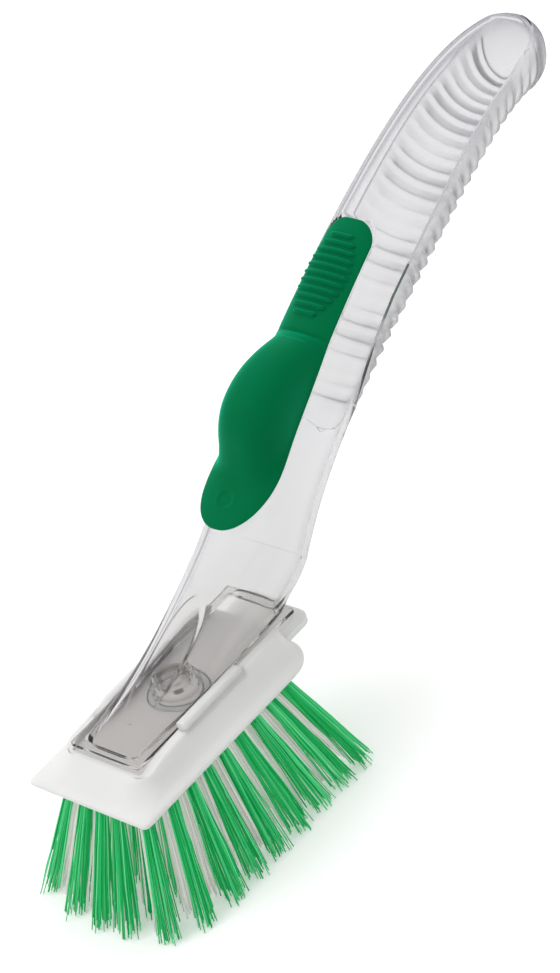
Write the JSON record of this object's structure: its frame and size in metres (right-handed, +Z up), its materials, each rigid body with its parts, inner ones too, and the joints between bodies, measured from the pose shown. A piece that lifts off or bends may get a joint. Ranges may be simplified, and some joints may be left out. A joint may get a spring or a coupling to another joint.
{
  "type": "dish wand",
  "caption": "Refillable dish wand with a clear hollow soap handle, a green rubber grip with squeeze bulb and lift tab, and a white slide-on head of fanned green and grey tufts.",
  "frame": {"origin": "Bottom middle of the bounding box: on the floor under the standing wand, midway between the foremost bristle tips and the handle's end.", "axes": "+X runs from the brush head to the handle's tip, +Y is the wand's right side seen from behind its tip, +Z is up; the wand stands on its bristle tips."},
  "size_m": [0.2694, 0.0702, 0.1475],
  "materials": {
    "clear_plastic": "clear, polished",
    "green_rubber": "satin",
    "clear_silicone": "milky, satin",
    "white_plastic": "satin",
    "green_bristle": "satin",
    "pale_bristle": "satin"
  },
  "bodies": {
    "handle": {"front_shell": "clear_plastic", "back_shell": "clear_plastic", "sole_plate": "clear_plastic", "valve_housing": "clear_plastic", "slit_valve": "clear_silicone", "valve_retainer": "clear_plastic", "filler_collar": "clear_plastic", "grip_strap": "green_rubber"},
    "flap": {"lift_flap": "green_rubber", "plug_core": "green_rubber"},
    "bulb": {"squeeze_bulb": "green_rubber"},
    "head": {"brush_block": "white_plastic", "inlet_seal": "clear_silicone", "green_tufts_1": "green_bristle", "green_tufts_2": "green_bristle", "green_tufts_3": "green_bristle", "green_tufts_4": "green_bristle", "green_tufts_5": "green_bristle", "pale_tufts_1": "pale_bristle", "pale_tufts_2": "pale_bristle", "pale_tufts_3": "pale_bristle", "pale_tufts_4": "pale_bristle"}
  },
  "joints": [
    {"name": "flap_hinge", "type": "hinge", "parent": "handle", "child": "flap", "pos_m": [0.00957, 0, 0.11153], "axis": [0, 1, 0], "range_deg": [0, 95], "stiffness_Nm_per_rad": 0.008},
    {"name": "bulb_press", "type": "slide", "parent": "flap", "child": "bulb", "axis": [0.5534, 0, -0.8329], "range_m": [0, 0.003], "stiffness_N_per_m": 800},
    {"name": "head_slide", "type": "slide", "parent": "handle", "child": "head", "axis": [-1, 0, 0], "range_m": [0, 0.066]}
  ]
}
